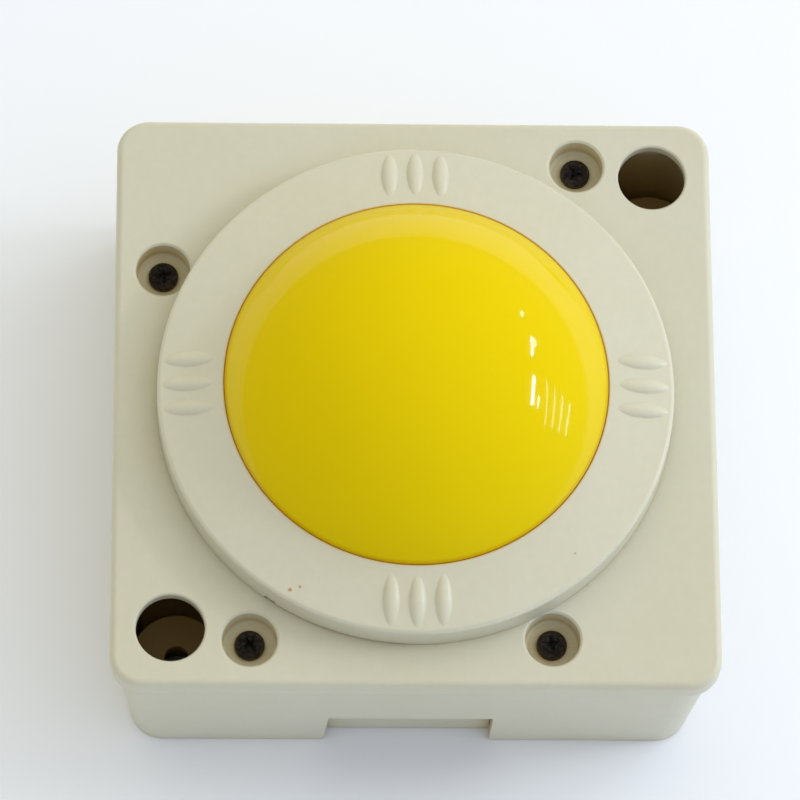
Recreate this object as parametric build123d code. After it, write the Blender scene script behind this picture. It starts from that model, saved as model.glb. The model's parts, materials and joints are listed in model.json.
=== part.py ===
from build123d import *
import math
import os

# Quiz buzzer: a square tabletop box with a large spring-loaded push dome.
# Millimetres. The origin is the centre of the box's underside, +Z up,
# +Y towards the back, and the cable slot is in the front wall at -Y.

# ---------------------------------------------------------------- box
BOX_SIDE = 150.0            # lid, across the flats
LID_TOP = 58.0              # height of the lid's top face
LID_PLATE = 3.0             # thickness of the lid's top
LID_RIM = 6.3               # height of the lid's rim, top face included
LID_WALL = 2.8
LID_CORNER = 8.0
LID_EDGE_ROUND = 1.8
PARTING = LID_TOP - LID_RIM  # where the lid rests on the base
BASE_TOP_HALF = 74.6        # half side of the base at the parting line
BASE_BOTTOM_HALF = 70.8     # half side of the base at the table
BASE_TOP_CORNER = 10.8
BASE_BOTTOM_CORNER = 8.2
BASE_WALL = 2.9
FLOOR = 3.0
LIP_DEPTH = 2.0             # locating lip of the lid, below the parting line
LIP_THICKNESS = 1.3
LIP_GAP = 0.25

# cable slot in the front wall, open to the table in front of a low sill
SLOT_RIGHT = 20.2
SLOT_LEFT_TOP = -20.9
SLOT_LEFT_BOTTOM = -22.0
SLOT_HEIGHT = 23.5
SLOT_BACK = -67.7           # front face of the sill
SLOT_CORNER = 0.9           # round of the wall's lower corners beside the slot
SILL_TOP = 9.0
SILL_THICKNESS = 2.5

# lid screws, their cups and posts
SCREW_PLACES = [(-63.0, 34.1), (41.1, 63.0), (-40.8, -63.0), (33.4, -62.6)]
CUP_TOP_RADIUS = 6.8
CUP_SEAT_RADIUS = 6.6
CUP_DEPTH = 5.8
CUP_FLOOR = 2.4
CUP_OUTER_RADIUS = 8.2
CUP_EDGE = 0.5              # chamfer round the cup's mouth
CUP_SEAT_ROUND = 0.8
POST_RADIUS = 4.2
POST_RIB = 2.0
POST_RIB_DROP = 4.0         # how far each rib's top lies below its post's top
SCREW_HEAD_RADIUS = 3.75
SCREW_HEAD_HEIGHT = 2.4
SCREW_SHANK_RADIUS = 1.9
SCREW_LENGTH = 15.0
SCREW_HOLE_RADIUS = 2.15
SCREW_FIT = 0.05            # clearance of a screw in its post
SCREW_TURNS = [12, -33, 40, 8]  # where each driver recess came to rest, in degrees

# pan-head shape, as shares of the head's radius or height
HEAD_SHOULDER = 0.62
HEAD_SHOULDER_ROUND = 0.45
HEAD_CROWN_ROUND = 0.6
RECESS_WIDTH = 0.28
RECESS_REACH = 0.62
RECESS_DEPTH = 0.7
RECESS_POINT_RADIUS = 0.4

# table fixing: an access hole in the lid over a raised pad in the base
ACCESS_X, ACCESS_Y = 60.2, 60.1
ACCESS_RADIUS = 8.5
ACCESS_EDGE = 0.4
PAD_PLACES = [(61.8, 57.4), (-59.0, -57.4)]
PAD_RADIUS = 11.2
PAD_TOP = 25.0
PAD_PLATE = 3.0
PAD_CORE_RADIUS = 8.4
PAD_HOLE_RADIUS = 3.1

# ---------------------------------------------------------------- dome and ring
DOME_RADIUS = 47.45         # at the rim
DOME_RISE = 23.7            # apex above the rim
DOME_WALL = 2.2
DOME_FLANGE_RADIUS = 50.6
FLANGE_FIT = 0.1            # play of the flange under the ring's lip
DOME_TRAVEL = 4.0
RIM_Z = 69.8                # dome rim, level with the ring's inner lip

RING_RADIUS = 64.0
RING_FOOT_RADIUS = 64.2
RING_BORE_RADIUS = 47.57
RING_EDGE_Z = 66.5          # outer top edge of the ring
RING_WALL = 2.3
RING_LIP = 2.4
RING_LIP_WIDTH = 3.4
RING_EDGE_ROUND = 1.2
RING_LIP_ROUND = 0.2
RING_FOOT_GAP = 0.1

RIDGE_LENGTH = 12.7
RIDGE_WIDTH = 4.1
RIDGE_HEIGHT = 0.95
RIDGE_ROOT = 1.2            # how deep a ridge reaches into the ring's wall
RIDGE_PITCH = 6.35
RIDGE_MIDDLE_RADIUS = 56.4
RIDGES_PER_GROUP = 3
RIDGE_GROUPS = 4

NOTCH_ANGLE = -124.0        # release notch in the ring's foot
NOTCH_WIDTH = 3.0
NOTCH_HEIGHT = 1.7
RELIEF_FROM, RELIEF_TO = -122.6, -92.0   # shallow relief of the ring's foot
RELIEF_HEIGHT = 0.5

LUG_COUNT = 4
LUG_FIRST_ANGLE = 45.0
LUG_HALF_ANGLE = 10.0
LUG_BOTTOM, LUG_TOP = LID_TOP + 2.0, LID_TOP + 4.3
LUG_GAP = 0.7               # between a lug and the housing's collar
TAB_HALF_ANGLE = 12.0
TAB_BOTTOM = LID_TOP + 4.6
TAB_REACH = 3.9
STOP_ANGLE = 1.3
ROOT = 0.5                  # overlap that joins a small feature to its wall

# ---------------------------------------------------------------- housing
HOUSING_RADIUS = 56.5
HOUSING_FLOOR = 2.5
COLLAR_WALL = 2.5
COLLAR_HEIGHT = 6.5
GUIDE_COUNT = 4
GUIDE_WIDTH = 3.0
GUIDE_INNER_RADIUS = 49.6
GUIDE_TOP = 66.2
GUIDE_FIT = 0.3
BARREL_RADIUS = 18.0
BARREL_BORE = 15.5
BARREL_END = 42.0
BARREL_FLOOR = 2.0
BARREL_HOLE_GAP = 0.4
NUT_RADIUS = 24.0
NUT_HEIGHT = 7.0
NUT_FIT = 0.05
NUT_CROWN_INSET = 1.5
NUT_CROWN_HEIGHT = 2.5

# ---------------------------------------------------------------- plunger
STEM_RADIUS = 9.0
STEM_BORE = 7.0
STEM_END = BARREL_END - 3.5
STEM_FIT = 0.3
HUB_RADIUS = 14.5
HUB_BOTTOM = 62.0
PLATE_BOTTOM = 65.0
PLATE_TOP = 67.0
PLATE_RADIUS = 44.95
PLATE_FIT = 0.05
PLATE_LEDGE = 0.95          # width of the dome's ledge that rests on the plate
PLATE_RIBS = 6
PLATE_RIB_WIDTH = 1.6
PLATE_RIB_HEIGHT = 2.0
PLATE_RIB_END = 27.0
SPRING_RADIUS = 12.2
SPRING_WIRE = 1.2
SPRING_TURNS = 5.5
SPRING_FIT = 0.01

DIFFUSER_RADIUS = 34.0
DIFFUSER_RISE = 14.0
DIFFUSER_WALL = 1.5

# ---------------------------------------------------------------- switch
SWITCH_LEFT = 8.7           # near end of the switch, next to the stem
SWITCH_LENGTH = 27.8
SWITCH_HEIGHT = 15.9
SWITCH_HALF_WIDTH = 5.15
SWITCH_TOP = 32.0
SWITCH_COVER = 2.3
LEVER_PIVOT_X = 34.5
LEVER_PIVOT_Z = 33.2
LEVER_ANGLE = 10.5          # rise of the lever towards the stem at rest
LEVER_TIP_X = 7.6
LEVER_THICKNESS = 0.4
LEVER_HALF_WIDTH = 2.1
LEVER_PIN_RADIUS = 0.5
LEVER_TIP_ROUND = 1.0
SWITCH_BUTTON_X = 27.3
SWITCH_BUTTON_RADIUS = 1.2
SWITCH_BUTTON_TOP = 34.2
SWITCH_HOLES = [(11.5, 19.0), (33.7, 29.3)]
BLADE_XS = [16.5, 23.5, 30.5]
BLADE_WIDTH = 4.8
BLADE_THICKNESS = 0.6
BLADE_END = 8.0
BLADE_ROOT = 3.0            # length inside the case
BLADE_EYE_RADIUS = 0.8
CHAMBER_FROM, CHAMBER_TO = 15.0, 30.5
BLADE_FIT = 0.05
CHAMBER_WALL = 3.0
CHAMBER_BACK = 1.5
COLLAR_RADIUS = 2.2         # raised collar round the button's bore
COLLAR_RISE = 0.6
BUTTON_BORE_DEPTH = 6.0
BUTTON_LENGTH = 7.0
BUTTON_TIP_ROUND = 0.9
BUTTON_FIT = 0.2
EAR_INNER, EAR_OUTER = LEVER_HALF_WIDTH + 0.3, LEVER_HALF_WIDTH + 1.5
EAR_HALF_LENGTH = 1.4
EAR_RISE = 1.3
EYE_RADIUS = 0.95
PIN_FIT = 0.01
EYE_FIT = 0.06
SWITCH_HOLE_RADIUS = 1.55
SWITCH_SCREW = (2.4, 1.8, 1.25)  # head radius, head height, shank radius
CHEEK = 2.5

# ---------------------------------------------------------------- lamp
SHELF_BOTTOM = 16.0
SHELF_TOP = 19.0
SOCKET_RADIUS = 7.2
SOCKET_BORE = 5.4
SOCKET_TOP = 29.0
SOCKET_FLOOR = 2.0
LAMP_RADIUS = 4.9
LAMP_TOP = 49.0
LAMP_BASE_BOTTOM, LAMP_BASE_TOP = SHELF_TOP + 5, SHELF_TOP + 12
LAMP_LENS_STEP = 0.2
WEDGE_BOTTOM = SHELF_TOP + 2.2
WEDGE_HALF_WIDTH, WEDGE_HALF_THICKNESS = 4.2, 1.35
CONTACT_END = 10.0
CONTACT_TOP = SOCKET_TOP - 5.5
CONTACT_Y = 1.6
CONTACT_HALF_WIDTH, CONTACT_HALF_THICKNESS = 2.4, 0.25
CONTACT_FIT = 0.1

# frame that carries the switch and the lamp
HOLDER_COLLAR_WALL = 3.0
HOLDER_COLLAR_RISE = 4.0
HOLDER_RING = 3.7
HOLDER_BORE_INSET = 2.0
LEG_NEAR, LEG_FAR = 16.5, 19.5
LEG_HALF_WIDTH = 7.0
SHELF_HALF_WIDTH = 8.2
CHEEK_START = 5.4
CHEEK_OVERRUN = 0.8
CHEEK_DROP = 1.0            # how far the cheek stops below the switch's top
WEB_END, WEB_FAR = 7.6, 17.0
HOLDER_HOLE_RADIUS = 1.3

# ---------------------------------------------------------------- wiring
POLE_PITCH = 8.0
POLES = 4
BLOCK_BACK = -40.0
BLOCK_DEPTH = 12.0
BLOCK_BOTTOM = 7.0
BLOCK_TOP = 19.0
ENTRY_Z = 11.0
ENTRY_RADIUS = 1.6
CLAMP_WELL_RADIUS, CLAMP_WELL_DEPTH = 2.5, 4.0
CLAMP_BORE_RADIUS = 1.5
CLAMP_SCREW = (2.2, 1.6, 1.35)
BLOCK_SCREW = (2.1, 1.5, 0.95)
BLOCK_SCREW_XS = [-POLE_PITCH, POLE_PITCH]
BLOCK_HOLE_RADIUS = 1.3
BLOCK_PILOT_RADIUS = 1.0
BLOCK_PAD_INSET = 2.0
LEAD_RADIUS = 0.8
LEAD_FIT = 0.05
LEAD_HEIGHT = 2.0           # middle of a lead above the floor plate
LEAD_BENDS = [2.4, 6.0, 3.5]
LEAD_RISE_START = 12.0      # distances from the back of the block along each lead
LEAD_RISE_END = 4.0
LEAD_INSERT = 4.0
LAMP_LEAD_X = 1.5
CUT = 20.0                  # more than any wall is thick


def disc(radius, bottom, top, x=0.0, y=0.0):
    """Upright cylinder between two heights."""
    cylinder = Cylinder(radius, top - bottom, align=(Align.CENTER, Align.CENTER, Align.MIN))
    return Pos(x, y, bottom) * cylinder


def block(low, high):
    """Box between two opposite corners."""
    size = [b - a for a, b in zip(low, high)]
    return Pos(*low) * Box(*size, align=Align.MIN)


def rounded_block(half, corner, bottom, top):
    """Square prism with rounded upright edges."""
    outline = RectangleRounded(2 * half, 2 * half, corner)
    return Pos(0, 0, bottom) * extrude(outline, top - bottom)


def tapered_block(lower, upper):
    """Square prism that changes size; each end is (half side, corner radius, height)."""
    ends = [
        Pos(0, 0, height) * RectangleRounded(2 * half, 2 * half, corner)
        for half, corner, height in (lower, upper)
    ]
    return loft(ends, ruled=True)


def turned(outline, rounds=()):
    """Solid of revolution about Z; rounds lists (corner point, radius) pairs of the outline."""
    face = make_face(Polyline(*outline, close=True).edges())
    for corner, radius in rounds:
        vertex = face.vertices().sort_by_distance((*corner, 0))[0]
        face = fillet(vertex, radius)
    return revolve(Plane.XZ * face, Axis.Z)


def across(radius, x=0.0, z=0.0):
    """Cylinder along Y, long enough to cross the switch."""
    return Pos(x, 0, z) * Rot(90, 0, 0) * Cylinder(radius, CUT)


def sector(inner, outer, bottom, top, middle, half_angle):
    """Piece of a ring between two radii, centred on one angle in degrees."""
    ring = disc(outer, bottom, top) - disc(inner, bottom, top)
    reach = 2 * outer
    spread = math.radians(half_angle)
    corner = (reach * math.cos(spread), reach * math.sin(spread))
    wedge = make_face(Polyline((0, 0), corner, (corner[0], -corner[1]), close=True).edges())
    wedge = Pos(0, 0, bottom) * extrude(wedge, top - bottom)
    return ring & (Rot(0, 0, middle) * wedge)


def base_section(height, inset=0.0):
    """Half side, corner radius and height of the tapered base at one height."""
    share = height / PARTING
    half = BASE_BOTTOM_HALF + share * (BASE_TOP_HALF - BASE_BOTTOM_HALF)
    corner = BASE_BOTTOM_CORNER + share * (BASE_TOP_CORNER - BASE_BOTTOM_CORNER)
    return half - inset, corner - inset, height


def make_base_box():
    """Tapered lower shell with screw posts, table-fixing pads and the cable slot."""
    outside = tapered_block(base_section(0), base_section(PARTING))
    cavity = tapered_block(base_section(FLOOR, BASE_WALL), base_section(PARTING, BASE_WALL))
    shell = outside - cavity

    post_top = LID_TOP - CUP_DEPTH - CUP_FLOOR
    rib_top = post_top - POST_RIB_DROP
    for x, y in SCREW_PLACES:
        post = disc(POST_RADIUS, 0, post_top, x, y)
        if abs(x) > abs(y):
            far = math.copysign(BASE_TOP_HALF, x)
            rib = block((min(x, far), y - POST_RIB / 2, 0), (max(x, far), y + POST_RIB / 2, rib_top))
        else:
            far = math.copysign(BASE_TOP_HALF, y)
            rib = block((x - POST_RIB / 2, min(y, far), 0), (x + POST_RIB / 2, max(y, far), rib_top))
        shell += (post + rib) & outside
        shell -= disc(SCREW_SHANK_RADIUS, post_top - SCREW_LENGTH, post_top, x, y)

    for x, y in PAD_PLACES:
        shell += disc(PAD_RADIUS, 0, PAD_TOP, x, y) & outside
        shell -= disc(PAD_CORE_RADIUS, 0, PAD_TOP - PAD_PLATE, x, y)
        shell -= disc(PAD_HOLE_RADIUS, 0, PAD_TOP, x, y)

    slot_outline = Polyline(
        (SLOT_RIGHT, -1), (SLOT_RIGHT, SLOT_HEIGHT), (SLOT_LEFT_TOP, SLOT_HEIGHT),
        (SLOT_LEFT_BOTTOM, -1), close=True,
    )
    shell -= extrude(Plane.XZ.offset(-SLOT_BACK) * make_face(slot_outline.edges()), CUT)
    beside_slot = shell.edges().filter_by(Axis.Y).filter_by(lambda edge: edge.center().Z < ROOT)
    beside_slot = beside_slot.filter_by(lambda edge: edge.center().Y < SLOT_BACK)
    shell = fillet(beside_slot, SLOT_CORNER)
    shell += block((SLOT_LEFT_BOTTOM, SLOT_BACK, 0), (SLOT_RIGHT, SLOT_BACK + SILL_THICKNESS, SILL_TOP))

    half_pad = POLES * POLE_PITCH / 2
    shell += block(
        (-half_pad, BLOCK_BACK - BLOCK_DEPTH + BLOCK_PAD_INSET, FLOOR - ROOT),
        (half_pad, BLOCK_BACK - BLOCK_PAD_INSET, BLOCK_BOTTOM),
    )
    for x in BLOCK_SCREW_XS:
        shell -= disc(BLOCK_PILOT_RADIUS, FLOOR, BLOCK_BOTTOM, x, BLOCK_BACK - BLOCK_DEPTH / 2)
    return shell


def make_lid():
    """Square cover: top plate, rim, locating lip, screw cups and access holes."""
    half = BOX_SIDE / 2
    lid = rounded_block(half, LID_CORNER, PARTING, LID_TOP)
    lid = fillet(lid.faces().sort_by(Axis.Z)[-1].edges(), LID_EDGE_ROUND)
    inner_half = half - LID_WALL
    inner_corner = BASE_TOP_CORNER - LID_WALL
    lid -= rounded_block(inner_half, inner_corner, PARTING, LID_TOP - LID_PLATE)

    lip_half, lip_corner, lip_bottom = base_section(PARTING - LIP_DEPTH, BASE_WALL + LIP_GAP)
    lip = rounded_block(lip_half, lip_corner, lip_bottom, LID_TOP - LID_PLATE)
    lip -= rounded_block(lip_half - LIP_THICKNESS, lip_corner - LIP_THICKNESS, lip_bottom, LID_TOP)
    lid += lip

    seat = LID_TOP - CUP_DEPTH
    for x, y in SCREW_PLACES:
        cup = disc(CUP_OUTER_RADIUS, seat - CUP_FLOOR, LID_TOP - LID_PLATE, x, y)
        lid += cup & rounded_block(lip_half, lip_corner, 0, LID_TOP)
    for x, y in SCREW_PLACES:
        recess = turned(
            [(0, seat), (CUP_SEAT_RADIUS, seat), (CUP_TOP_RADIUS, LID_TOP - CUP_EDGE),
             (CUP_TOP_RADIUS + CUP_EDGE, LID_TOP), (0, LID_TOP)],
            rounds=[((CUP_SEAT_RADIUS, seat), CUP_SEAT_ROUND)],
        )
        lid -= Pos(x, y, 0) * recess
        lid -= disc(SCREW_HOLE_RADIUS, seat - CUP_FLOOR, seat, x, y)

    hole = turned([
        (0, PARTING), (ACCESS_RADIUS, PARTING), (ACCESS_RADIUS, LID_TOP - ACCESS_EDGE),
        (ACCESS_RADIUS + ACCESS_EDGE, LID_TOP), (0, LID_TOP),
    ])
    for side in (1, -1):
        lid -= Pos(side * ACCESS_X, side * ACCESS_Y, 0) * hole
    lid -= disc(BARREL_RADIUS + BARREL_HOLE_GAP, PARTING, LID_TOP)
    return lid


def cross_recess(width, depth, reach):
    """Cruciform driver recess, tapered to a point, opening at z = 0."""
    arms = Box(2 * reach, width, 2 * depth) + Box(width, 2 * reach, 2 * depth)
    taper = Cone(RECESS_POINT_RADIUS, reach, depth, align=(Align.CENTER, Align.CENTER, Align.MAX))
    return arms & taper


def pan_head_screw(head_radius, head_height, shank_radius, length):
    """Pan-head screw pointing down, the underside of its head at z = 0."""
    shoulder = (head_radius, head_height * HEAD_SHOULDER)
    crown = (head_radius * HEAD_SHOULDER, head_height)
    head = turned(
        [(0, 0), (head_radius, 0), shoulder, crown, (0, head_height)],
        rounds=[(shoulder, head_height * HEAD_SHOULDER_ROUND), (crown, head_height * HEAD_CROWN_ROUND)],
    )
    shank = turned([(0, 0), (shank_radius, 0), (shank_radius, 2 * shank_radius - length), (0, -length)])
    recess = cross_recess(
        head_radius * RECESS_WIDTH, head_height * RECESS_DEPTH, head_radius * RECESS_REACH,
    )
    return head + shank - Pos(0, 0, head_height) * recess


def make_lid_screws():
    """Four self-tapping screws that hold the lid."""
    seat = LID_TOP - CUP_DEPTH
    shank_radius = SCREW_SHANK_RADIUS - SCREW_FIT
    screw = pan_head_screw(SCREW_HEAD_RADIUS, SCREW_HEAD_HEIGHT, shank_radius, SCREW_LENGTH)
    return [Pos(x, y, seat) * Rot(0, 0, turn) * screw for (x, y), turn in zip(SCREW_PLACES, SCREW_TURNS)]


def ring_top_z(radius):
    """Height of the ring's conical top at one radius."""
    slope = (RIM_Z - RING_EDGE_Z) / (RING_RADIUS - RING_BORE_RADIUS)
    return RIM_Z - (radius - RING_BORE_RADIUS) * slope


def make_ridge():
    """Lens-shaped grip ridge along X: the top of a slender spindle whose axis lies below z = 0."""
    half_length, half_width = RIDGE_LENGTH / 2, RIDGE_WIDTH / 2
    section_radius = (half_width ** 2 + RIDGE_HEIGHT ** 2) / (2 * RIDGE_HEIGHT)
    swell_radius = (half_length ** 2 + RIDGE_HEIGHT ** 2) / (2 * RIDGE_HEIGHT)
    half_spindle = math.sqrt(swell_radius ** 2 - (swell_radius - section_radius) ** 2)
    swell = ThreePointArc((-half_spindle, 0), (0, section_radius), (half_spindle, 0))
    outline = make_face([swell.edge(), Line((-half_spindle, 0), (half_spindle, 0)).edge()])
    spindle = Pos(0, 0, RIDGE_HEIGHT - section_radius) * revolve(outline, Axis.X)
    reach_x, reach_y = half_length + ROOT, half_width + ROOT
    return spindle & block((-reach_x, -reach_y, -RIDGE_ROOT), (reach_x, reach_y, RIDGE_HEIGHT + ROOT))


def make_bezel_ring():
    """Twist-lock ring that keeps the dome in: grip ridges above, bayonet lugs inside."""
    foot = LID_TOP + RING_FOOT_GAP
    skirt_inner = RING_FOOT_RADIUS - RING_WALL
    lip_under = RIM_Z - RING_LIP
    lip_outer = RING_BORE_RADIUS + RING_LIP_WIDTH
    ring = turned(
        [(RING_FOOT_RADIUS, foot), (RING_RADIUS, RING_EDGE_Z), (RING_BORE_RADIUS, RIM_Z),
         (RING_BORE_RADIUS, lip_under), (lip_outer, lip_under),
         (skirt_inner, ring_top_z(skirt_inner) - RING_WALL), (skirt_inner, foot)],
        rounds=[((RING_RADIUS, RING_EDGE_Z), RING_EDGE_ROUND), ((RING_BORE_RADIUS, RIM_Z), RING_LIP_ROUND)],
    )
    slope = math.degrees(math.atan2(RIM_Z - RING_EDGE_Z, RING_RADIUS - RING_BORE_RADIUS))
    middle = (RIDGES_PER_GROUP - 1) / 2
    ridge = make_ridge()
    for group in range(RIDGE_GROUPS):
        for number in range(RIDGES_PER_GROUP):
            offset = (number - middle) * RIDGE_PITCH
            along = math.sqrt(RIDGE_MIDDLE_RADIUS ** 2 - offset ** 2)
            place = Pos(along, offset, ring_top_z(RIDGE_MIDDLE_RADIUS)) * Rot(0, slope, 0)
            ring += Rot(0, 0, 90 * group) * place * ridge

    for number in range(LUG_COUNT):
        angle = LUG_FIRST_ANGLE + 360 / LUG_COUNT * number
        ring += sector(
            HOUSING_RADIUS + LUG_GAP, skirt_inner + ROOT, LUG_BOTTOM, LUG_TOP, angle, LUG_HALF_ANGLE,
        )

    notch = block((skirt_inner - ROOT, -NOTCH_WIDTH / 2, foot - ROOT),
                  (RING_FOOT_RADIUS + ROOT, NOTCH_WIDTH / 2, foot + NOTCH_HEIGHT))
    ring -= Rot(0, 0, NOTCH_ANGLE) * notch
    relief_middle = (RELIEF_FROM + RELIEF_TO) / 2
    relief_half = (RELIEF_TO - RELIEF_FROM) / 2
    ring -= sector(skirt_inner - ROOT, RING_FOOT_RADIUS + ROOT, foot - ROOT, foot + RELIEF_HEIGHT,
                   relief_middle, relief_half)
    return ring


def make_button_housing():
    """Flanged cup with bayonet tabs and a barrel through the lid."""
    floor_top = LID_TOP + HOUSING_FLOOR
    collar_top = LID_TOP + COLLAR_HEIGHT
    collar_inner = HOUSING_RADIUS - COLLAR_WALL
    stem_hole = STEM_RADIUS + STEM_FIT
    housing = turned(
        [(stem_hole, BARREL_END), (BARREL_RADIUS, BARREL_END), (BARREL_RADIUS, LID_TOP),
         (HOUSING_RADIUS, LID_TOP), (HOUSING_RADIUS, collar_top), (collar_inner, collar_top),
         (collar_inner, floor_top), (BARREL_BORE, floor_top), (BARREL_BORE, BARREL_END + BARREL_FLOOR),
         (stem_hole, BARREL_END + BARREL_FLOOR)],
    )
    tab_inner, tab_outer = HOUSING_RADIUS - ROOT, HOUSING_RADIUS + TAB_REACH
    for number in range(LUG_COUNT):
        angle = LUG_FIRST_ANGLE + 360 / LUG_COUNT * number
        housing += sector(tab_inner, tab_outer, TAB_BOTTOM, collar_top, angle, TAB_HALF_ANGLE)
        stop_angle = angle - TAB_HALF_ANGLE + STOP_ANGLE / 2
        housing += sector(tab_inner, tab_outer, LID_TOP, TAB_BOTTOM, stop_angle, STOP_ANGLE / 2)
    for number in range(GUIDE_COUNT):
        guide = block((GUIDE_INNER_RADIUS, -GUIDE_WIDTH / 2, LID_TOP),
                      (collar_inner + ROOT, GUIDE_WIDTH / 2, GUIDE_TOP))
        housing += Rot(0, 0, 90 * number) * guide
    return housing


def make_barrel_nut():
    """Hexagonal plastic nut that clamps the barrel under the lid."""
    top = LID_TOP - LID_PLATE
    nut = extrude(RegularPolygon(NUT_RADIUS, 6), NUT_HEIGHT)
    nut = Pos(0, 0, top - NUT_HEIGHT) * nut
    bottom = top - NUT_HEIGHT
    crown = turned([
        (0, bottom), (NUT_RADIUS - NUT_CROWN_INSET, bottom), (NUT_RADIUS + ROOT, bottom + NUT_CROWN_HEIGHT),
        (NUT_RADIUS + ROOT, top), (0, top),
    ])
    return (nut & crown) - disc(BARREL_RADIUS + NUT_FIT, bottom, top)


def cap_radius(base_radius, rise):
    """Radius of the sphere whose cap has this base radius and rise."""
    return (base_radius ** 2 + rise ** 2) / (2 * rise)


def make_dome_cap():
    """Hollow push dome with a skirt and a retaining flange."""
    outer = cap_radius(DOME_RADIUS, DOME_RISE)
    centre = RIM_Z + DOME_RISE - outer
    inner = outer - DOME_WALL
    ledge_radius = PLATE_RADIUS - PLATE_LEDGE
    skirt_inner = PLATE_RADIUS + PLATE_FIT
    flange_top = RIM_Z - RING_LIP - FLANGE_FIT
    flange_bottom = LID_TOP + HOUSING_FLOOR + DOME_TRAVEL + FLANGE_FIT
    ledge_top = centre + math.sqrt(inner ** 2 - ledge_radius ** 2)
    half_rim = math.asin(DOME_RADIUS / outer) / 2
    half_ledge = math.asin(ledge_radius / inner) / 2
    outside = ThreePointArc(
        (0, centre + outer),
        (outer * math.sin(half_rim), centre + outer * math.cos(half_rim)),
        (DOME_RADIUS, RIM_Z),
    )
    skirt = Polyline(
        (DOME_RADIUS, RIM_Z), (DOME_RADIUS, flange_top), (DOME_FLANGE_RADIUS, flange_top),
        (DOME_FLANGE_RADIUS, flange_bottom), (skirt_inner, flange_bottom), (skirt_inner, PLATE_TOP),
        (ledge_radius, PLATE_TOP), (ledge_radius, ledge_top),
    )
    inside = ThreePointArc(
        (ledge_radius, ledge_top),
        (inner * math.sin(half_ledge), centre + inner * math.cos(half_ledge)),
        (0, centre + inner),
    )
    close = Line((0, centre + inner), (0, centre + outer))
    face = make_face(outside.edges() + skirt.edges() + inside.edges() + close.edges())
    dome = revolve(Plane.XZ * face, Axis.Z)
    for number in range(GUIDE_COUNT):
        gap = block((GUIDE_INNER_RADIUS - GUIDE_FIT, -GUIDE_WIDTH / 2 - GUIDE_FIT, flange_bottom - ROOT),
                    (DOME_FLANGE_RADIUS + ROOT, GUIDE_WIDTH / 2 + GUIDE_FIT, flange_top + ROOT))
        dome -= Rot(0, 0, 90 * number) * gap
    return dome


def make_light_diffuser():
    """Shallow white cap over the light path, standing on the plunger's plate."""
    outer = cap_radius(DIFFUSER_RADIUS, DIFFUSER_RISE)
    centre = PLATE_TOP + DIFFUSER_RISE - outer
    cap = Pos(0, 0, centre) * (Sphere(outer) - Sphere(outer - DIFFUSER_WALL))
    return cap & disc(DIFFUSER_RADIUS + ROOT, PLATE_TOP, PLATE_TOP + DIFFUSER_RISE + ROOT)


def make_plunger():
    """White plate under the dome with a hollow stem down the barrel."""
    plunger = turned(
        [(STEM_BORE, STEM_END), (STEM_RADIUS, STEM_END), (STEM_RADIUS, HUB_BOTTOM),
         (HUB_RADIUS, HUB_BOTTOM), (HUB_RADIUS, PLATE_BOTTOM), (PLATE_RADIUS, PLATE_BOTTOM),
         (PLATE_RADIUS, PLATE_TOP), (STEM_BORE, PLATE_TOP)],
    )
    for number in range(PLATE_RIBS):
        rib = block((STEM_BORE + ROOT, -PLATE_RIB_WIDTH / 2, PLATE_TOP - ROOT),
                    (PLATE_RIB_END, PLATE_RIB_WIDTH / 2, PLATE_TOP + PLATE_RIB_HEIGHT))
        plunger += Rot(0, 0, 360 / PLATE_RIBS * number) * rib
    return plunger


def make_return_spring():
    """Compression spring between the barrel's floor and the plunger's hub."""
    bottom = BARREL_END + BARREL_FLOOR + SPRING_WIRE / 2 + SPRING_FIT
    height = HUB_BOTTOM - bottom - SPRING_WIRE / 2 - SPRING_FIT
    path = Helix(height / SPRING_TURNS, height, SPRING_RADIUS, center=(0, 0, bottom))
    section = Plane(path @ 0, z_dir=path % 0) * Circle(SPRING_WIRE / 2)
    return sweep(section, path=path, is_frenet=True)


def make_switch_holder():
    """Black frame hung under the barrel: collar, two legs, lamp shelf and switch cheek."""
    ring_bottom = BARREL_END - HOLDER_RING
    collar_top = BARREL_END + HOLDER_COLLAR_RISE
    outer = BARREL_RADIUS + HOLDER_COLLAR_WALL
    holder = disc(outer, ring_bottom, collar_top) - disc(BARREL_RADIUS + CONTACT_FIT, BARREL_END, collar_top)
    holder -= disc(BARREL_RADIUS - HOLDER_BORE_INSET, ring_bottom, BARREL_END)
    for side in (1, -1):
        near, far = sorted((side * LEG_NEAR, side * LEG_FAR))
        holder += block((-LEG_HALF_WIDTH, near, SHELF_BOTTOM), (LEG_HALF_WIDTH, far, ring_bottom + ROOT))
    holder += block((-SHELF_HALF_WIDTH, -LEG_FAR, SHELF_BOTTOM), (SHELF_HALF_WIDTH, LEG_FAR, SHELF_TOP))

    cheek_near = SWITCH_HALF_WIDTH
    cheek_far = SWITCH_HALF_WIDTH + CHEEK
    cheek_end = SWITCH_LEFT + SWITCH_LENGTH + CHEEK_OVERRUN
    cheek_top = SWITCH_TOP - CHEEK_DROP
    holder += block((CHEEK_START, cheek_near, SHELF_BOTTOM), (cheek_end, cheek_far, cheek_top))
    holder += block((CHEEK_START, cheek_far - ROOT, SHELF_TOP - ROOT), (WEB_END, WEB_FAR, cheek_top))
    for x, z in SWITCH_HOLES:
        holder -= Pos(x, cheek_near, z) * Rot(90, 0, 0) * Cylinder(HOLDER_HOLE_RADIUS, CUT / 2)
    for side in (1, -1):
        holder -= contact_blade(side, CONTACT_FIT)
    return holder


def contact_blade(side, gap=0.0):
    """Flat lamp contact on one side of the wedge base."""
    half_width = CONTACT_HALF_WIDTH + gap
    half_thickness = CONTACT_HALF_THICKNESS + gap
    middle = side * CONTACT_Y
    return block((-half_width, middle - half_thickness, CONTACT_END),
                 (half_width, middle + half_thickness, CONTACT_TOP))


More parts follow.
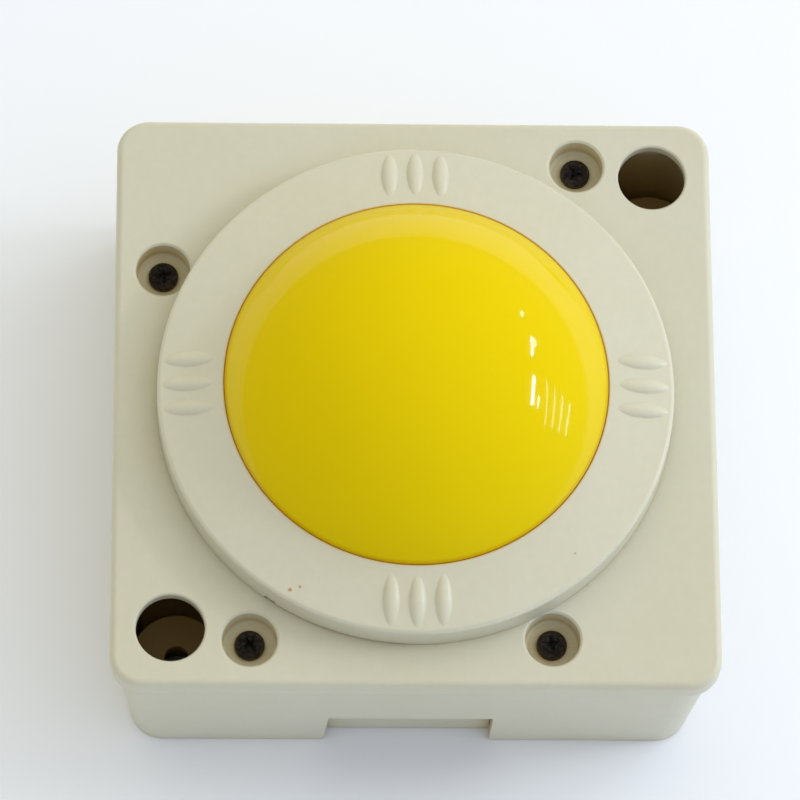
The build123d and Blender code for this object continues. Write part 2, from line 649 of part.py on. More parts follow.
def make_switch_case():
    """Snap-action switch body with pivot ears, button bore and an open contact chamber."""
    left, right = SWITCH_LEFT, SWITCH_LEFT + SWITCH_LENGTH
    bottom = SWITCH_TOP - SWITCH_HEIGHT
    joint_y = -SWITCH_HALF_WIDTH + SWITCH_COVER
    case = block((left, joint_y, bottom), (right, SWITCH_HALF_WIDTH, SWITCH_TOP))
    case -= block((CHAMBER_FROM, joint_y, bottom + CHAMBER_WALL),
                  (CHAMBER_TO, SWITCH_HALF_WIDTH - CHAMBER_BACK, SWITCH_TOP - CHAMBER_WALL))
    collar_top = SWITCH_TOP + COLLAR_RISE
    case += disc(COLLAR_RADIUS, SWITCH_TOP - ROOT, collar_top, SWITCH_BUTTON_X, 0)
    case -= disc(SWITCH_BUTTON_RADIUS + BUTTON_FIT, SWITCH_TOP - BUTTON_BORE_DEPTH, collar_top,
                 SWITCH_BUTTON_X, 0)
    for side in (1, -1):
        near, far = sorted((side * EAR_INNER, side * EAR_OUTER))
        near = max(near, joint_y)
        case += block((LEVER_PIVOT_X - EAR_HALF_LENGTH, near, SWITCH_TOP - ROOT),
                      (LEVER_PIVOT_X + EAR_HALF_LENGTH, far, LEVER_PIVOT_Z + EAR_RISE))
    case -= across(LEVER_PIN_RADIUS + PIN_FIT, LEVER_PIVOT_X, LEVER_PIVOT_Z)
    for x, z in SWITCH_HOLES:
        case -= across(SWITCH_HOLE_RADIUS, x, z)
    for x in BLADE_XS:
        case -= switch_blade(x, BLADE_FIT)
    return case


def make_switch_cover():
    """Flat cover of the switch's contact chamber."""
    bottom = SWITCH_TOP - SWITCH_HEIGHT
    joint_y = -SWITCH_HALF_WIDTH + SWITCH_COVER
    cover = block((SWITCH_LEFT, -SWITCH_HALF_WIDTH, bottom),
                  (SWITCH_LEFT + SWITCH_LENGTH, joint_y, SWITCH_TOP))
    for x, z in SWITCH_HOLES:
        cover -= across(SWITCH_HOLE_RADIUS, x, z)
    return cover


def switch_blade(x, gap=0.0):
    """Flat solder terminal that enters the switch from below."""
    half = BLADE_WIDTH / 2 + gap
    thick = BLADE_THICKNESS / 2 + gap
    top = SWITCH_TOP - SWITCH_HEIGHT + BLADE_ROOT
    return block((x - half, -thick, BLADE_END), (x + half, thick, top))


def make_switch_terminals():
    """Common, normally open and normally closed terminals."""
    eye_z = BLADE_END + BLADE_ROOT
    return [switch_blade(x) - across(BLADE_EYE_RADIUS, x, eye_z) for x in BLADE_XS]


def make_switch_button():
    """Small round-ended button that the lever presses."""
    bottom = SWITCH_BUTTON_TOP - BUTTON_LENGTH
    button = disc(SWITCH_BUTTON_RADIUS, bottom, SWITCH_BUTTON_TOP, SWITCH_BUTTON_X, 0)
    return fillet(button.faces().sort_by(Axis.Z)[-1].edges(), BUTTON_TIP_ROUND)


def make_switch_lever():
    """Straight lever with an eye round its pivot pin, rising towards the stem."""
    reach = (LEVER_PIVOT_X - LEVER_TIP_X) / math.cos(math.radians(LEVER_ANGLE))
    eye = Rot(90, 0, 0) * Cylinder(EYE_RADIUS, 2 * LEVER_HALF_WIDTH)
    strip = block((-reach, -LEVER_HALF_WIDTH, -LEVER_THICKNESS / 2),
                  (0, LEVER_HALF_WIDTH, LEVER_THICKNESS / 2))
    tip = strip.edges().filter_by(Axis.Z).sort_by(Axis.X)[:2]
    lever = fillet(tip, LEVER_TIP_ROUND) + eye - across(LEVER_PIN_RADIUS + EYE_FIT)
    return Pos(LEVER_PIVOT_X, 0, LEVER_PIVOT_Z) * Rot(0, LEVER_ANGLE, 0) * lever


def make_lever_pin():
    """Steel pin through the switch's ears."""
    joint_y = -SWITCH_HALF_WIDTH + SWITCH_COVER
    pin = across(LEVER_PIN_RADIUS, LEVER_PIVOT_X, LEVER_PIVOT_Z)
    return pin & block((0, joint_y, 0), (BOX_SIDE, EAR_OUTER, LID_TOP))


def make_switch_screws():
    """Two long screws through the switch into the holder's cheek."""
    screw = pan_head_screw(*SWITCH_SCREW, 2 * SWITCH_HALF_WIDTH + CHEEK)
    return [Pos(x, -SWITCH_HALF_WIDTH, z) * Rot(90, 0, 0) * screw for x, z in SWITCH_HOLES]


def make_lamp_socket():
    """Round socket for the wedge-base lamp, standing on the holder's shelf."""
    socket = disc(SOCKET_RADIUS, SHELF_TOP, SOCKET_TOP)
    socket -= disc(SOCKET_BORE, SHELF_TOP + SOCKET_FLOOR, SOCKET_TOP)
    for side in (1, -1):
        socket -= contact_blade(side, CONTACT_FIT)
    return socket - block((0, SWITCH_HALF_WIDTH, 0), (CUT, CUT, LID_TOP))


def make_lamp_contacts():
    """Two sprung contact blades of the lamp socket."""
    return [contact_blade(side) for side in (1, -1)]


def make_lamp_base():
    """Plastic base of the lamp with its flat wedge."""
    wedge = block((-WEDGE_HALF_WIDTH, -WEDGE_HALF_THICKNESS, WEDGE_BOTTOM),
                  (WEDGE_HALF_WIDTH, WEDGE_HALF_THICKNESS, LAMP_BASE_BOTTOM + ROOT))
    return wedge + disc(LAMP_RADIUS, LAMP_BASE_BOTTOM, LAMP_BASE_TOP)


def make_lamp_lens():
    """Clear round-ended lens of the lamp."""
    radius = LAMP_RADIUS - LAMP_LENS_STEP
    body = disc(radius, LAMP_BASE_TOP, LAMP_TOP)
    return fillet(body.faces().sort_by(Axis.Z)[-1].edges(), radius - ROOT)


def pole_x(number):
    """Middle of one pole of the terminal block."""
    return (number - (POLES - 1) / 2) * POLE_PITCH


def make_terminal_block():
    """Four-pole screw terminal block on the base's pad."""
    half = POLES * POLE_PITCH / 2
    middle_y = BLOCK_BACK - BLOCK_DEPTH / 2
    body = block((-half, BLOCK_BACK - BLOCK_DEPTH, BLOCK_BOTTOM), (half, BLOCK_BACK, BLOCK_TOP))
    for number in range(POLES):
        x = pole_x(number)
        body -= disc(CLAMP_WELL_RADIUS, BLOCK_TOP - CLAMP_WELL_DEPTH, BLOCK_TOP, x, middle_y)
        body -= disc(CLAMP_BORE_RADIUS, ENTRY_Z, BLOCK_TOP, x, middle_y)
        body -= Pos(x, middle_y, ENTRY_Z) * Rot(90, 0, 0) * Cylinder(ENTRY_RADIUS, CUT)
    for x in BLOCK_SCREW_XS:
        body -= disc(BLOCK_HOLE_RADIUS, BLOCK_BOTTOM, BLOCK_TOP, x, middle_y)
    return body


def make_clamp_screws():
    """One clamp screw for each pole."""
    seat = BLOCK_TOP - CLAMP_WELL_DEPTH
    screw = pan_head_screw(*CLAMP_SCREW, seat - ENTRY_Z - LEAD_RADIUS - LEAD_FIT)
    middle_y = BLOCK_BACK - BLOCK_DEPTH / 2
    return [Pos(pole_x(number), middle_y, seat) * screw for number in range(POLES)]


def make_block_screws():
    """Two screws that hold the terminal block to its pad."""
    screw = pan_head_screw(*BLOCK_SCREW, BLOCK_TOP - FLOOR - ROOT)
    middle_y = BLOCK_BACK - BLOCK_DEPTH / 2
    return [Pos(x, middle_y, BLOCK_TOP) * screw for x in BLOCK_SCREW_XS]


def lead(start, pole):
    """Insulated wire from a terminal's lower end to one pole of the block."""
    x, y, z = start
    low = FLOOR + LEAD_HEIGHT
    end_x = pole_x(pole)
    path = FilletPolyline(
        (x, y, z), (x, y, low), (end_x, BLOCK_BACK + LEAD_RISE_START, low),
        (end_x, BLOCK_BACK + LEAD_RISE_END, ENTRY_Z), (end_x, BLOCK_BACK - LEAD_INSERT, ENTRY_Z),
        radius=LEAD_BENDS,
    )
    section = Plane(path @ 0, z_dir=path % 0) * Circle(LEAD_RADIUS)
    return sweep(section, path=path)


def make_switch_leads():
    """Leads from the common and normally open terminals."""
    return [lead((BLADE_XS[0], 0, BLADE_END), 2), lead((BLADE_XS[2], 0, BLADE_END), 3)]


def make_lamp_leads():
    """Leads from the two lamp contacts."""
    return [
        lead((-LAMP_LEAD_X, CONTACT_Y, CONTACT_END), 0),
        lead((LAMP_LEAD_X, -CONTACT_Y, CONTACT_END), 1),
    ]


MAKERS = {
    "base_box": make_base_box,
    "lid": make_lid,
    "lid_screws": make_lid_screws,
    "bezel_ring": make_bezel_ring,
    "button_housing": make_button_housing,
    "barrel_nut": make_barrel_nut,
    "dome_cap": make_dome_cap,
    "light_diffuser": make_light_diffuser,
    "plunger": make_plunger,
    "return_spring": make_return_spring,
    "switch_holder": make_switch_holder,
    "switch_case": make_switch_case,
    "switch_cover": make_switch_cover,
    "switch_terminals": make_switch_terminals,
    "switch_button": make_switch_button,
    "switch_lever": make_switch_lever,
    "lever_pin": make_lever_pin,
    "switch_screws": make_switch_screws,
    "lamp_socket": make_lamp_socket,
    "lamp_contacts": make_lamp_contacts,
    "led_lamp_base": make_lamp_base,
    "led_lamp_lens": make_lamp_lens,
    "terminal_block": make_terminal_block,
    "clamp_screws": make_clamp_screws,
    "block_screws": make_block_screws,
    "switch_leads": make_switch_leads,
    "lamp_leads": make_lamp_leads,
}


def main():
    os.makedirs("parts", exist_ok=True)
    for node, make in MAKERS.items():
        shape = make()
        if isinstance(shape, list):
            shape = Compound(children=shape)
        export_step(shape, f"parts/{node}.step")


main()
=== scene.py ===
import json
import math
import bpy
from mathutils import Matrix, Quaternion, Vector


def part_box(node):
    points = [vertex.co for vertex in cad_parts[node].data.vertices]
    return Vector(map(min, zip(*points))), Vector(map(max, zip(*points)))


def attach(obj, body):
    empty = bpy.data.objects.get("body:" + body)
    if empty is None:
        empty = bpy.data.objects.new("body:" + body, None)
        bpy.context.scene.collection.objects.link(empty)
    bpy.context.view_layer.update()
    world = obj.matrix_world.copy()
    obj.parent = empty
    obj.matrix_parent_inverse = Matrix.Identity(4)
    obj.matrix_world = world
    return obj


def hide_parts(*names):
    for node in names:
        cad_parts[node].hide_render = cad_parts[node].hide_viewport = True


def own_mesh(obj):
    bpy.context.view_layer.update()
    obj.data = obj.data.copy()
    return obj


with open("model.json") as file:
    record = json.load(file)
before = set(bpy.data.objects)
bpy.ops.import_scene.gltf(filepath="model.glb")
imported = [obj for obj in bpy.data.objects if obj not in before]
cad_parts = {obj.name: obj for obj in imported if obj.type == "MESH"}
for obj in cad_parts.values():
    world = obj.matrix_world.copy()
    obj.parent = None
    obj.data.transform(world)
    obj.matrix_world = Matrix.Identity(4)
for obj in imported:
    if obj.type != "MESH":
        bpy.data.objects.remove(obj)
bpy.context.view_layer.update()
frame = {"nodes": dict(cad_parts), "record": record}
nodes = frame["nodes"]
MM = 0.001

LID_LOW, LID_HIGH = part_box("lid")
RING_LOW, RING_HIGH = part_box("bezel_ring")
LID_TOP = LID_HIGH.z
FLOOR_DROP = 0.2 * MM                # keeps the floor clear of the underside
DAYLIGHT = (0.93, 0.98, 1.10)        # colour of the key and the window


# ------------------------------------------------------------------ node helpers
class Shader:
    """A Principled material and short calls that add nodes to it."""

    def __init__(self, name):
        self.material = bpy.data.materials.new(name)
        self.material.use_nodes = True
        self.tree = self.material.node_tree
        self.bsdf = self.tree.nodes["Principled BSDF"]
        self.place = self.add("ShaderNodeTexCoord").outputs["Object"]

    def add(self, kind, **values):
        """Adds a node; a value names an input (socket or constant) or a setting."""
        node = self.tree.nodes.new(kind)
        for key, value in values.items():
            name = key.replace("_", " ")
            socket = next((s for s in node.inputs if s.name.lower() == name.lower() and s.enabled), None)
            if socket is None:
                setattr(node, key, value)
            else:
                self.give(socket, value)
        return node

    def give(self, socket, value):
        """Links an output to a socket, or sets the socket's own value."""
        if isinstance(value, bpy.types.NodeSocket):
            self.tree.links.new(value, socket)
        else:
            socket.default_value = value

    def set(self, **values):
        """Sets inputs of the Principled node."""
        for key, value in values.items():
            self.give(self.bsdf.inputs[key.replace("_", " ")], value)

    def stretched(self, x, y, z):
        """Object coordinates scaled differently along each axis."""
        return self.add("ShaderNodeMapping", Vector=self.place, Scale=(x, y, z)).outputs["Vector"]

    def noise(self, scale, detail=4.0, rough=0.55, vector=None, distortion=0.0):
        """Noise from 0 to 1; scale is waves per metre."""
        made = self.add("ShaderNodeTexNoise", Vector=vector or self.place, Scale=scale, Detail=detail,
                        Roughness=rough, Distortion=distortion)
        return made.outputs["Fac"]

    def ramp(self, value, low, high, to_low=0.0, to_high=1.0):
        """Value remapped from low..high to to_low..to_high, clamped."""
        made = self.add("ShaderNodeMapRange")
        names = ("Value", "From Min", "From Max", "To Min", "To Max")
        for name, given in zip(names, (value, low, high, to_low, to_high)):
            self.give(made.inputs[name], given)
        return made.outputs["Result"]

    def math(self, operation, first, second=0.0):
        made = self.tree.nodes.new("ShaderNodeMath")
        made.operation = operation
        self.give(made.inputs[0], first)
        self.give(made.inputs[1], second)
        return made.outputs[0]

    def mix(self, share, first, second):
        """Colour from first to second as share goes from 0 to 1."""
        made = self.tree.nodes.new("ShaderNodeMix")
        made.data_type = "RGBA"
        colours = [s for s in made.inputs if s.type == "RGBA"]
        self.give(made.inputs[0], share)
        self.give(colours[0], first)
        self.give(colours[1], second)
        return next(s for s in made.outputs if s.type == "RGBA")

    def crevice(self, distance):
        """1 deep in a recess or corner, 0 on open faces."""
        open_share = self.add("ShaderNodeAmbientOcclusion", samples=8, Distance=distance).outputs["AO"]
        return self.math("SUBTRACT", 1.0, open_share)

    def distance_to(self, x, y):
        """Distance in metres from the vertical line through a point of the frame."""
        made = self.add("ShaderNodeVectorMath", operation="DISTANCE")
        self.give(made.inputs[0], self.stretched(1.0, 1.0, 0.0))
        made.inputs[1].default_value = (x, y, 0.0)
        return made.outputs["Value"]

    def bump(self, *layers, edge=0.0):
        """Bump from (height socket, depth in metres) layers over slightly rounded edges."""
        normal = self.add("ShaderNodeBevel", samples=6, Radius=edge).outputs["Normal"] if edge else None
        for height, depth in layers:
            made = self.add("ShaderNodeBump", Height=height, Distance=depth, Strength=1.0)
            if normal is not None:
                self.give(made.inputs["Normal"], normal)
            normal = made.outputs["Normal"]
        self.set(Normal=normal)


def rgb(red, green, blue):
    """Linear colour from 0-255 display values."""
    linear = [((c / 255 + 0.055) / 1.055) ** 2.4 if c > 10 else c / 255 / 12.92 for c in (red, green, blue)]
    return (*linear, 1.0)


# ------------------------------------------------------------------ materials
def cream_plastic(name, colour, roughness, grime_depth):
    """Satin moulded ABS: painted warm shade in its hollows, painted brown shade inside the box, with grime
    and handling marks.
    """
    s = Shader(name)
    cloud = s.ramp(s.noise(28.0, 3.0), 0.3, 0.7)
    fine = s.ramp(s.noise(420.0, 3.0), 0.3, 0.7)
    warm = tuple(c * k for c, k in zip(colour[:3], (0.965, 0.945, 0.87))) + (1.0,)
    base = s.mix(s.math("MULTIPLY", cloud, 0.55), colour, warm)
    base = s.mix(s.math("MULTIPLY", fine, 0.10), base, rgb(190, 184, 160))
    grime = s.ramp(s.crevice(grime_depth), 0.36, 0.85)
    patchy = s.math("MULTIPLY", grime, s.ramp(s.noise(900.0, 5.0, 0.7), 0.35, 0.75, 0.25, 1.0))
    base = s.mix(s.math("MULTIPLY", patchy, 0.8), base, rgb(108, 96, 52))
    # Painted shade: a warm yellow tint in hollows and where parts meet, standing in for warm light bounced
    # between cream faces.
    base = s.mix(s.ramp(s.crevice(0.02), 0.42, 0.75, 0.0, 0.45), base, rgb(204, 186, 126))
    # Painted shade: brown deep inside the box, standing in for dim light bounced round the cream walls.
    base = s.mix(s.ramp(s.crevice(0.15), 0.70, 0.90, 0.0, 0.9), base, rgb(196, 160, 76))
    specks = s.add("ShaderNodeTexVoronoi", Vector=s.place, Scale=130.0)
    near = s.ramp(specks.outputs["Distance"], 0.03, 0.05, 1.0, 0.0)
    rare = s.ramp(s.noise(60.0, 2.0), 0.66, 0.70)
    base = s.mix(s.math("MULTIPLY", s.math("MULTIPLY", near, rare), 0.5), base, rgb(120, 92, 48))
    s.set(Base_Color=base, IOR=1.5, Subsurface_Weight=0.06, Subsurface_Scale=0.003)
    rough = s.ramp(s.noise(160.0, 4.0), 0.25, 0.75, roughness - 0.02, roughness + 0.03)
    scuffs = s.ramp(s.noise(8.0, 6.0, 0.7, s.stretched(1.0, 14.0, 1.0)), 0.60, 0.75, 0.0, 0.03)
    s.set(Roughness=s.math("ADD", rough, scuffs))
    s.bump((s.noise(2600.0, 2.0), 0.000012), (s.noise(30.0, 1.0), 0.00004), edge=0.0004)
    return s


def ring_plastic():
    """The ring's lighter cream plastic: painted yellow light from the dome beside its bore, two small rust
    stains at its front left.
    """
    s = cream_plastic("ring_cream", rgb(216, 213, 190), 0.30, 0.004)
    base = s.bsdf.inputs["Base Color"].links[0].from_socket
    middle = (RING_LOW + RING_HIGH) / 2
    bore = 47.6 * MM
    # Painted light: yellow from the dome, on the ring within half a millimetre of its bore.
    dome_glow = s.ramp(s.distance_to(middle.x, middle.y), bore, bore + 0.5 * MM, 0.8, 0.0)
    base = s.mix(dome_glow, base, rgb(224, 172, 40))
    for angle, reach, size in ((-120.3, 61.6, 0.7), (-118.6, 59.9, 0.5)):
        turn = math.radians(angle)
        away = s.distance_to(middle.x + reach * MM * math.cos(turn), middle.y + reach * MM * math.sin(turn))
        ragged = s.math("ADD", away, s.ramp(s.noise(1500.0, 3.0), 0.3, 0.7, -0.2 * MM, 0.2 * MM))
        stain = s.ramp(ragged, size * 0.4 * MM, size * MM, 0.85, 0.0)
        base = s.mix(stain, base, rgb(196, 132, 48))
    s.set(Base_Color=base)
    return s.material


def dome_plastic():
    """Polished translucent yellow, with painted deeper-orange shade at the rim, where its wall is seen
    edge-on.
    """
    s = Shader("dome_yellow")
    height = s.add("ShaderNodeSeparateXYZ", Vector=s.place).outputs["Z"]
    rim_z = RING_HIGH.z
    cloud = s.ramp(s.noise(22.0, 3.0), 0.3, 0.7)
    base = s.mix(s.math("MULTIPLY", cloud, 0.35), (0.80, 0.60, 0.003, 1), (0.765, 0.555, 0.002, 1))
    # Painted shade: deeper orange at the rim, where the dome meets the ring.
    rim = s.ramp(height, rim_z - 0.4 * MM, rim_z + 1.1 * MM, 1.0, 0.0)
    base = s.mix(s.math("MULTIPLY", rim, 0.75), base, rgb(186, 112, 0))
    dust = s.ramp(s.noise(1300.0, 6.0, 0.75), 0.70, 0.78, 0.0, 0.10)
    base = s.mix(dust, base, rgb(225, 214, 170))
    s.set(Base_Color=base, IOR=1.45, Subsurface_Weight=0.12, Subsurface_Scale=0.004)
    s.set(Specular_IOR_Level=0.22)
    s.set(Subsurface_Radius=(1.0, 0.7, 0.08))
    marks = s.ramp(s.noise(30.0, 8.0, 0.75, s.stretched(1.0, 22.0, 1.0)), 0.60, 0.74, 0.0, 0.10)
    cross = s.ramp(s.noise(26.0, 8.0, 0.75, s.stretched(18.0, 1.5, 1.0)), 0.63, 0.75, 0.0, 0.08)
    s.set(Roughness=s.math("ADD", s.math("ADD", marks, cross), 0.055))
    s.bump((s.noise(90.0, 2.0), 0.00003), (s.noise(900.0, 2.0), 0.0000015))
    return s.material


def plain_plastic(name, colour, roughness=0.45, vary=0.12):
    """Moulded plastic of an inner part, with faint flow marks and a fine grain."""
    s = Shader(name)
    darker = tuple(c * (1 - vary) for c in colour[:3]) + (1.0,)
    flow = s.ramp(s.noise(90.0, 4.0, 0.6, s.stretched(1.0, 1.0, 2.5), 0.6), 0.3, 0.7)
    base = s.mix(flow, colour, darker)
    dust = s.ramp(s.crevice(0.003), 0.5, 1.0, 0.0, 0.35)
    base = s.mix(dust, base, rgb(120, 112, 96))
    s.set(Base_Color=base, IOR=1.5)
    s.set(Roughness=s.ramp(s.noise(300.0, 4.0), 0.3, 0.7, roughness - 0.06, roughness + 0.08))
    s.bump((s.noise(1800.0, 3.0), 0.00001), edge=0.00015)
    return s.material


def metal(name, colour, roughness, grain=(1.0, 1.0, 20.0), tarnish=(90, 74, 50)):
    """Drawn or stamped metal with fine grain and a little tarnish in its corners."""
    s = Shader(name)
    streaks = s.ramp(s.noise(240.0, 5.0, 0.6, s.stretched(*grain)), 0.3, 0.7)
    darker = tuple(c * 0.78 for c in colour[:3]) + (1.0,)
    base = s.mix(streaks, colour, darker)
    base = s.mix(s.ramp(s.crevice(0.002), 0.45, 1.0, 0.0, 0.6), base, rgb(*tarnish))
    s.set(Base_Color=base, Metallic=1.0)
    s.set(Roughness=s.ramp(s.noise(500.0, 4.0), 0.3, 0.7, roughness - 0.08, roughness + 0.10))
    s.bump((streaks, 0.000008), edge=0.00012)
    return s.material


def black_oxide():
    """Blackened steel screw: nearly black, worn a little lighter, with painted shade darkest in the recess.
    """
    s = Shader("black_oxide")
    blotch = s.ramp(s.noise(1100.0, 5.0, 0.65), 0.35, 0.7)
    base = s.mix(blotch, rgb(30, 28, 28), rgb(84, 76, 70))
    # Painted shade: darker in the screw's recess.
    base = s.mix(s.ramp(s.crevice(0.0016), 0.4, 0.9, 0.0, 0.8), base, rgb(20, 16, 14))
    s.set(Base_Color=base, Metallic=0.75)
    s.set(Roughness=s.ramp(s.noise(1600.0, 4.0), 0.3, 0.7, 0.36, 0.55))
    s.bump((s.noise(3000.0, 3.0), 0.00002), edge=0.00012)
    return s.material


def lamp_glass():
    """Clear moulded lamp lens with faint moulding ripples."""
    s = Shader("lamp_clear")
    tint = s.mix(s.ramp(s.noise(200.0, 2.0), 0.3, 0.7), rgb(250, 250, 246), rgb(236, 238, 236))
    s.set(Base_Color=tint, Roughness=0.06, IOR=1.49, Transmission_Weight=0.9)
    s.bump((s.noise(400.0, 2.0), 0.00002))
    return s.material


def wire_plastic(name, colour):
    """Soft glossy wire insulation with light scuffs."""
    s = Shader(name)
    scuffed = s.ramp(s.noise(700.0, 5.0, 0.7), 0.5, 0.75)
    lighter = tuple(min(1.0, c * 1.5 + 0.02) for c in colour[:3]) + (1.0,)
    s.set(Base_Color=s.mix(scuffed, colour, lighter), IOR=1.5)
    s.set(Roughness=s.ramp(s.noise(350.0, 3.0), 0.3, 0.7, 0.28, 0.45))
    s.bump((s.noise(1200.0, 3.0), 0.00001))
    return s.material


def pale_floor():
    """Plain matt white table surface."""
    s = Shader("pale_floor")
    tone = s.mix(s.ramp(s.noise(6.0, 4.0), 0.3, 0.7), (0.93, 0.95, 0.985, 1), (0.915, 0.935, 0.97, 1))
    s.set(Base_Color=tone, Roughness=0.8, Specular_IOR_Level=0.2)
    s.bump((s.noise(900.0, 3.0), 0.00002))
    return s.material


SLOT_MATERIALS = {
    "box_plastic": cream_plastic("box_cream", rgb(213, 210, 187), 0.37, 0.006).material,
    "ring_plastic": ring_plastic(),
    "dome_plastic": dome_plastic(),
    "white_plastic": plain_plastic("white_moulding", rgb(232, 232, 226), 0.4, 0.04),
    "black_plastic": plain_plastic("black_moulding", rgb(34, 34, 36), 0.42),
    "switch_plastic": plain_plastic("switch_moulding", rgb(48, 48, 52), 0.5),
    "button_plastic": plain_plastic("button_moulding", rgb(176, 40, 30), 0.3),
    "block_plastic": plain_plastic("block_moulding", rgb(52, 116, 74), 0.45),
    "black_screw": black_oxide(),
    "zinc_screw": metal("zinc_plate", (0.62, 0.62, 0.58, 1), 0.34),
    "spring_steel": metal("spring_steel", (0.55, 0.55, 0.56, 1), 0.30),
    "contact_brass": metal("contact_brass", (0.66, 0.49, 0.22, 1), 0.32, tarnish=(96, 62, 30)),
    "lamp_lens": lamp_glass(),
    "switch_wire": wire_plastic("red_insulation", rgb(170, 26, 22)),
    "lamp_wire": wire_plastic("black_insulation", rgb(26, 26, 28)),
}


def paint_cad_nodes():
    """Gives each CAD node the material of its slot in the record."""
    for part in frame["record"]["subparts"]:
        thing = nodes[part["node"]]
        thing.data.materials.clear()
        thing.data.materials.append(SLOT_MATERIALS[part["material_slot"]])


# ------------------------------------------------------------------ pieces
def make_spring():
    """Return spring as a smooth coil with ground ends."""
    low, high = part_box("return_spring")
    wire = 0.6 * MM
    coil_radius = (high.x - low.x) / 2 - wire
    active, dead, points_per_turn = 4.5, 1.0, 40
    turns = active + 2 * dead
    curve = bpy.data.curves.new("return_spring_coil", "CURVE")
    curve.dimensions = "3D"
    curve.bevel_depth = wire
    curve.bevel_resolution = 5
    count = int(turns * points_per_turn) + 1
    spline = curve.splines.new("POLY")
    spline.points.add(count - 1)
    bottom, top = low.z + wire, high.z - wire
    rise_dead = 2.0 * wire / (top - bottom)
    for i in range(count):
        turn = turns * i / (count - 1)
        if turn < dead:
            share = rise_dead * turn / dead
        elif turn > turns - dead:
            share = 1 - rise_dead * (turns - turn) / dead
        else:
            share = rise_dead + (1 - 2 * rise_dead) * (turn - dead) / active
        angle = 2 * math.pi * turn
        spline.points[i].co = (coil_radius * math.cos(angle), coil_radius * math.sin(angle),
                               bottom + share * (top - bottom), 1)
    holder = bpy.data.objects.new("spring_curve", curve)
    bpy.context.scene.collection.objects.link(holder)
    bpy.context.view_layer.update()
    mesh = bpy.data.meshes.new_from_object(holder.evaluated_get(bpy.context.evaluated_depsgraph_get()))
    bpy.data.objects.remove(holder)
    spring = bpy.data.objects.new("return_spring_wire", mesh)
    bpy.context.scene.collection.objects.link(spring)
    mesh.shade_smooth()
    mesh.materials.clear()
    mesh.materials.append(SLOT_MATERIALS["spring_steel"])
    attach(spring, "housing")
    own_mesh(spring)
    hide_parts("return_spring")


# ------------------------------------------------------------------ stage, light, camera
def make_floor():
    reach = 8.0
    corners = [(-reach, -reach, 0), (reach, -reach, 0), (reach, reach, 0), (-reach, reach, 0)]
    mesh = bpy.data.meshes.new("floor")
    mesh.from_pydata(corners, [], [(0, 1, 2, 3)])
    floor = bpy.data.objects.new("floor", mesh)
    floor.location.z = -FLOOR_DROP
    bpy.context.scene.collection.objects.link(floor)
    mesh.materials.append(pale_floor())


def area_light(name, azimuth, elevation, distance, width, height, power, in_gloss, roll=0.0):
    """Rectangular light aimed at the box from a compass direction (+X is azimuth 0), turned by roll."""
    data = bpy.data.lights.new(name, "AREA")
    data.shape = "RECTANGLE"
    data.size, data.size_y = width, height
    data.energy = power
    data.color = DAYLIGHT
    lamp = bpy.data.objects.new(name, data)
    a, e = math.radians(azimuth), math.radians(elevation)
    away = Vector((math.cos(a) * math.cos(e), math.sin(a) * math.cos(e), math.sin(e)))
    lamp.location = Vector((0, 0, LID_TOP)) + away * distance
    facing = away.to_track_quat("Z", "Y") @ Quaternion((0, 0, 1), math.radians(roll))
    lamp.rotation_euler = facing.to_euler()
    lamp.visible_glossy = in_gloss
    bpy.context.scene.collection.objects.link(lamp)


def make_world():
    """Soft room light: brightest overhead, cool from the front and right, warm from behind and left."""
    world = bpy.data.worlds.new("studio")
    bpy.context.scene.world = world
    world.use_nodes = True
    tree = world.node_tree
    tree.nodes.clear()
    direction = tree.nodes.new("ShaderNodeTexCoord").outputs["Generated"]

    def along(axis, low, high, to_low, to_high):
        """Value that changes with how far the direction points along an axis."""
        dot = tree.nodes.new("ShaderNodeVectorMath")
        dot.operation = "DOT_PRODUCT"
        tree.links.new(direction, dot.inputs[0])
        dot.inputs[1].default_value = Vector(axis).normalized()
        span = tree.nodes.new("ShaderNodeMapRange")
        tree.links.new(dot.outputs["Value"], span.inputs["Value"])
        for name, value in zip(("From Min", "From Max", "To Min", "To Max"), (low, high, to_low, to_high)):
            span.inputs[name].default_value = value
        return span.outputs["Result"]

    tint = tree.nodes.new("ShaderNodeMix")
    tint.data_type = "RGBA"
    tree.links.new(along((0.6, -0.7, -0.4), -0.8, 0.8, 0.0, 1.0), tint.inputs[0])
    tint.inputs[6].default_value = (1.0, 0.955, 0.80, 1)
    tint.inputs[7].default_value = (0.85, 0.97, 1.25, 1)

    def product(first, second):
        """Product of two values."""
        made = tree.nodes.new("ShaderNodeMath")
        made.operation = "MULTIPLY"
        tree.links.new(first, made.inputs[0])
        tree.links.new(second, made.inputs[1])
        return made.outputs[0]

    sideways = product(along((1, 0.2, 0), -1, 1, 0.90, 1.34), along((0, -1, 0), 0, 1, 1.0, 0.62))
    lit = (0.0, 0.7, 0.50, 0.90)
    mirrored = (0.0, 0.55, 0.18, 0.0)
    shades = []
    for reach in (lit, mirrored):
        shade = tree.nodes.new("ShaderNodeBackground")
        tree.links.new(tint.outputs[2], shade.inputs["Color"])
        tree.links.new(product(along((0, 0, 1), *reach), sideways), shade.inputs["Strength"])
        shades.append(shade)
    choose = tree.nodes.new("ShaderNodeMixShader")
    tree.links.new(tree.nodes.new("ShaderNodeLightPath").outputs["Is Glossy Ray"], choose.inputs[0])
    for shade, socket in zip(shades, choose.inputs[1:]):
        tree.links.new(shade.outputs[0], socket)
    tree.links.new(choose.outputs[0], tree.nodes.new("ShaderNodeOutputWorld").inputs["Surface"])


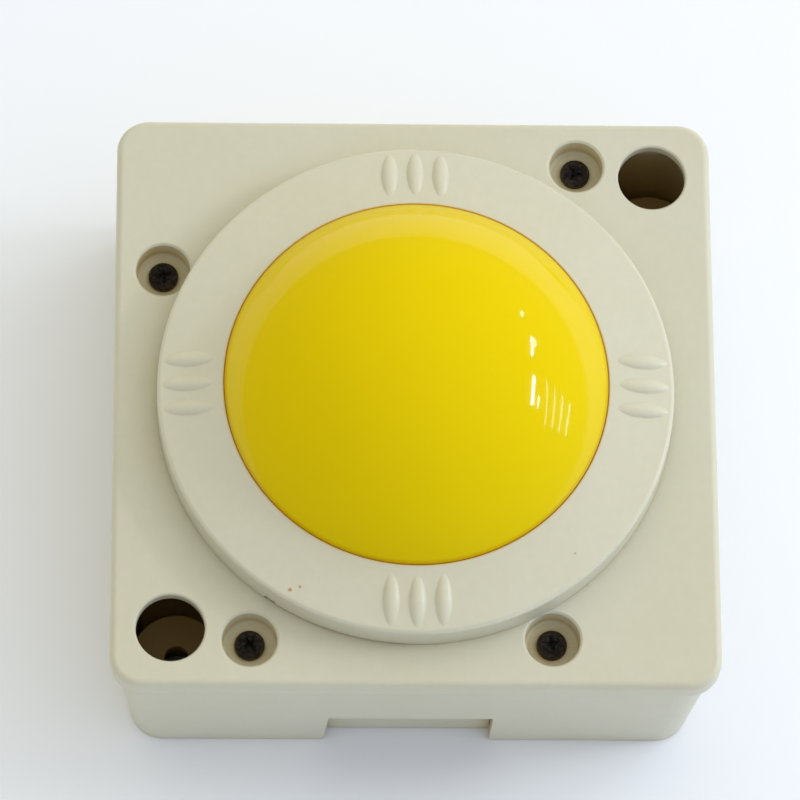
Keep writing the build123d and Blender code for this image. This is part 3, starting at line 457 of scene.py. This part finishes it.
def make_lights():
    """Large soft key, and a window to the right: bright gaps above a blind with thin slits."""
    area_light("key", 24, 40, 1.7, 1.3, 1.3, 4.2, False)
    area_light("window_far", 29.5, 26.5, 2.0, 0.28, 0.035, 1.7, True, roll=-32)
    area_light("window_far_low", 30.5, 24.0, 2.0, 0.12, 0.02, 0.3, True, roll=-32)
    area_light("window_corner", 44, 21, 2.0, 0.09, 0.03, 0.3, True, roll=-50)
    area_light("window_near", 8, 32, 2.0, 0.44, 0.05, 4.2, True, roll=-8)
    area_light("window_near_low", 3, 29.5, 2.0, 0.20, 0.03, 0.7, True, roll=-8)
    top_slit, slit_pitch = 24.5, 4.4
    for number in range(4):
        elevation, width = top_slit - slit_pitch * number, 0.66 - 0.08 * number
        area_light(f"window_slit_{number}", 3.5 - number, elevation, 2.0, width, 0.028, 0.62, True)


def make_camera():
    """Long lens, high above the front edge and slightly to the left."""
    distance = 1.3057
    azimuth, elevation, roll = math.radians(-4.736), math.radians(69.43), math.radians(-0.268)
    middle = (LID_LOW + LID_HIGH) / 2
    aim_left, aim_front = 3.75 * MM, 0.35 * MM
    aim = Vector((middle.x - aim_left, middle.y - aim_front, LID_TOP))
    away = Vector((math.sin(azimuth) * math.cos(elevation), -math.cos(azimuth) * math.cos(elevation),
                   math.sin(elevation)))
    right = Vector((0, 1, 0)).cross(away).normalized()
    up = away.cross(right)
    right, up = (math.cos(roll) * right + math.sin(roll) * up, math.cos(roll) * up - math.sin(roll) * right)
    data = bpy.data.cameras.new("camera")
    data.lens = 236.25
    data.sensor_width = 36.0
    data.clip_start, data.clip_end = 0.05, 50.0
    camera = bpy.data.objects.new("camera", data)
    turn = Matrix((right, up, away)).transposed()
    camera.matrix_world = Matrix.Translation(aim + away * distance) @ turn.to_4x4()
    bpy.context.scene.collection.objects.link(camera)
    bpy.context.scene.camera = camera


bpy.context.scene.view_settings.view_transform = "Standard"
paint_cad_nodes()
make_spring()
make_floor()
make_world()
make_lights()
make_camera()
